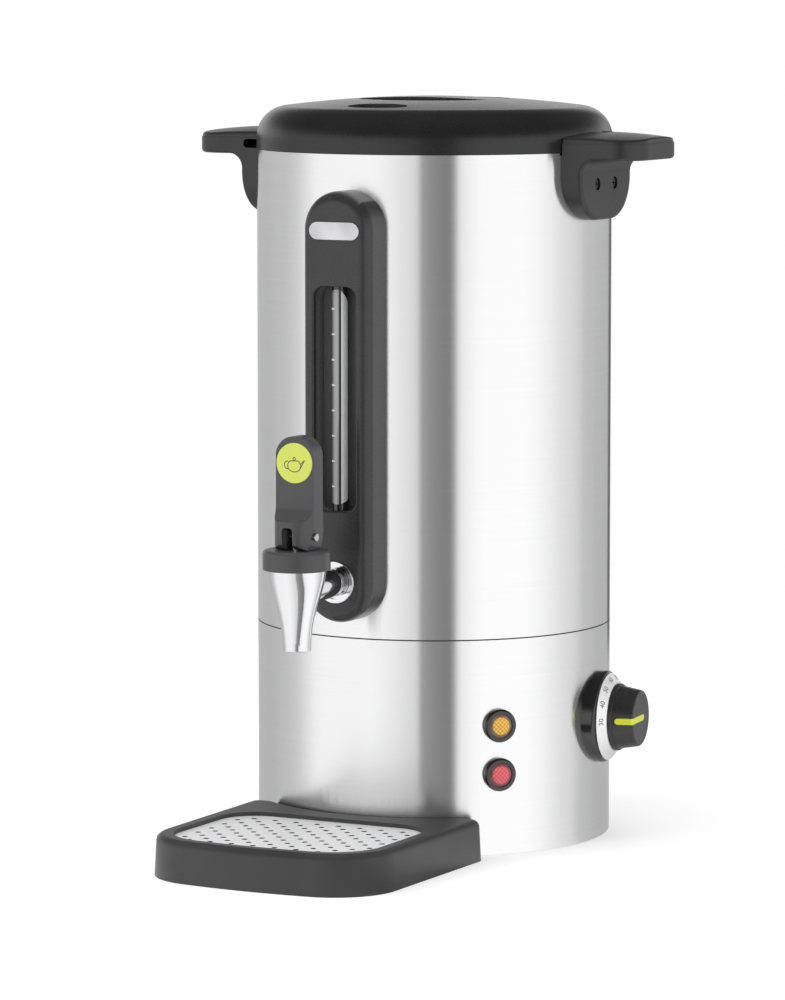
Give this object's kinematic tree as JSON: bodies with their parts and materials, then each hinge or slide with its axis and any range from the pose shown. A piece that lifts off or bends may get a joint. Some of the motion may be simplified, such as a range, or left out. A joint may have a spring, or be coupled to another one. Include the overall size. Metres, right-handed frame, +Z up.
{
  "type": "hot water urn",
  "caption": "Countertop hot water urn: round brushed steel tank with lift-off lid, side handles, level gauge, lever tap, thermostat dial and slide-out drip tray.",
  "frame": {"origin": "centre of the tank's axis at table level, under the tank", "axes": "+Z up along the tank's axis; -Y is the front, with the tap, gauge and drip tray; the two handles lie along X"},
  "size_m": [0.307, 0.3695, 0.458],
  "materials": {
    "tank_steel": "brushed round the body",
    "casing_steel": "brushed round the body",
    "grid_steel": "brushed, punched",
    "screw_steel": "plain",
    "spring_steel": "drawn wire",
    "element_steel": "scaled sheath",
    "zinc_sheet": "zinc plated",
    "zinc_steel": "zinc plated",
    "chrome_plate": "bright",
    "plated_brass": "dull nickel plate",
    "plain_aluminium": "plain sheet",
    "silver_dial": "satin, printed figures",
    "plate_silver": "satin, bare",
    "brass_fitting": "plain",
    "copper_tube": "drawn",
    "seal_silicone": "translucent white",
    "foot_rubber": "matte",
    "lead_insulation": "silicone sleeve",
    "handle_black": "fine grain",
    "lid_black": "fine grain",
    "panel_black": "satin",
    "lever_black": "satin",
    "tray_black": "fine grain",
    "knob_black": "satin",
    "gland_black": "plain",
    "inner_plastic": "phenolic",
    "block_plastic": "plain",
    "gloss_black": "gloss",
    "lime_mark": "satin print",
    "red_plastic": "plain",
    "red_lens": "translucent",
    "amber_lens": "translucent, dotted inside",
    "gauge_glass": "clear"
  },
  "bodies": {
    "urn": {"tank": "tank_steel", "base_seal": "seal_silicone", "base_casing": "casing_steel", "base_pan": "zinc_sheet", "rubber_feet": "foot_rubber", "tie_rods": "zinc_steel", "tie_nuts": "zinc_steel", "diffuser_plate": "plain_aluminium", "heating_element": "element_steel", "heat_shield": "plain_aluminium", "thermostat": "inner_plastic", "thermostat_screws": "zinc_steel", "capillary_sensor": "copper_tube", "dial_bezel": "gloss_black", "dial_ring": "silver_dial", "lamp_bezels": "gloss_black", "lamp_lens_red": "red_lens", "lamp_lens_amber": "amber_lens", "lamp_housings": "inner_plastic", "lamp_clips": "zinc_steel", "thermal_cutout": "inner_plastic", "terminal_block": "block_plastic", "earth_stud": "brass_fitting", "cable_gland": "gland_black", "gland_nut": "gland_black", "element_leads": "lead_insulation", "handle_right": "handle_black", "handle_left": "handle_black", "handle_screws": "screw_steel", "handle_nut_plates": "zinc_steel", "front_panel": "panel_black", "nameplate": "plate_silver", "panel_screw": "screw_steel", "gauge_tube": "gauge_glass", "gauge_elbows": "plated_brass", "gauge_seals": "seal_silicone", "gauge_nuts": "plated_brass", "tap_shank": "plated_brass", "shank_seals": "seal_silicone", "shank_nut": "plated_brass", "shank_ring": "chrome_plate", "tap_spout": "chrome_plate", "tap_bonnet": "lever_black"},
    "lid_inner": {"lid_inner_plate": "tank_steel", "lid_gasket": "seal_silicone", "lid_pivot_stud": "screw_steel"},
    "lid_cover": {"lid_cover": "lid_black"},
    "knob": {"control_knob": "knob_black", "knob_pointer": "lime_mark", "thermostat_shaft": "zinc_steel"},
    "stem": {"tap_stem": "chrome_plate", "seat_cup": "seal_silicone", "lever_pin": "spring_steel", "tap_spring": "spring_steel"},
    "lever": {"tap_lever": "lever_black", "lever_disc": "lime_mark"},
    "tray": {"drip_tray": "tray_black"},
    "grid": {"drip_grid": "grid_steel"},
    "button": {"reset_button": "red_plastic"}
  },
  "joints": [
    {"name": "lid_lift", "type": "slide", "parent": "urn", "child": "lid_inner", "axis": [0, 0, 1], "range_m": [0, 0.14]},
    {"name": "lid_turn", "type": "hinge", "parent": "lid_inner", "child": "lid_cover", "pos_m": [0, 0, 0.43], "axis": [0, 0, 1], "range_deg": [0, 12]},
    {"name": "thermostat_turn", "type": "hinge", "parent": "urn", "child": "knob", "pos_m": [0, 0, 0.076], "axis": [-0.9925, -0.1219, 0], "range_deg": [0, 206]},
    {"name": "lever_tilt", "type": "hinge", "parent": "stem", "child": "lever", "pos_m": [0, -0.1795, 0.2024], "axis": [1, 0, 0], "range_deg": [0, 45], "stiffness_Nm_per_rad": 0.005, "springref_deg": -11.46},
    {"name": "stem_lift", "type": "slide", "parent": "urn", "child": "stem", "axis": [0, 0, 1], "range_m": [0, 0.0035], "stiffness_N_per_m": 400, "springref_m": -0.003, "deforming": ["tap_spring"]},
    {"name": "tray_slide", "type": "slide", "parent": "urn", "child": "tray", "axis": [0, -1, 0], "range_m": [0, 0.125]},
    {"name": "grid_lift", "type": "slide", "parent": "tray", "child": "grid", "axis": [0, 0, 1], "range_m": [0, 0.06]},
    {"name": "reset_press", "type": "slide", "parent": "urn", "child": "button", "axis": [0, 0, 1], "range_m": [0, 0.0015], "stiffness_N_per_m": 300, "springref_m": -0.001}
  ],
  "couplings": [
    {"joint": "lever_tilt", "follows": "stem_lift", "rad_per_m": 224.4}
  ]
}
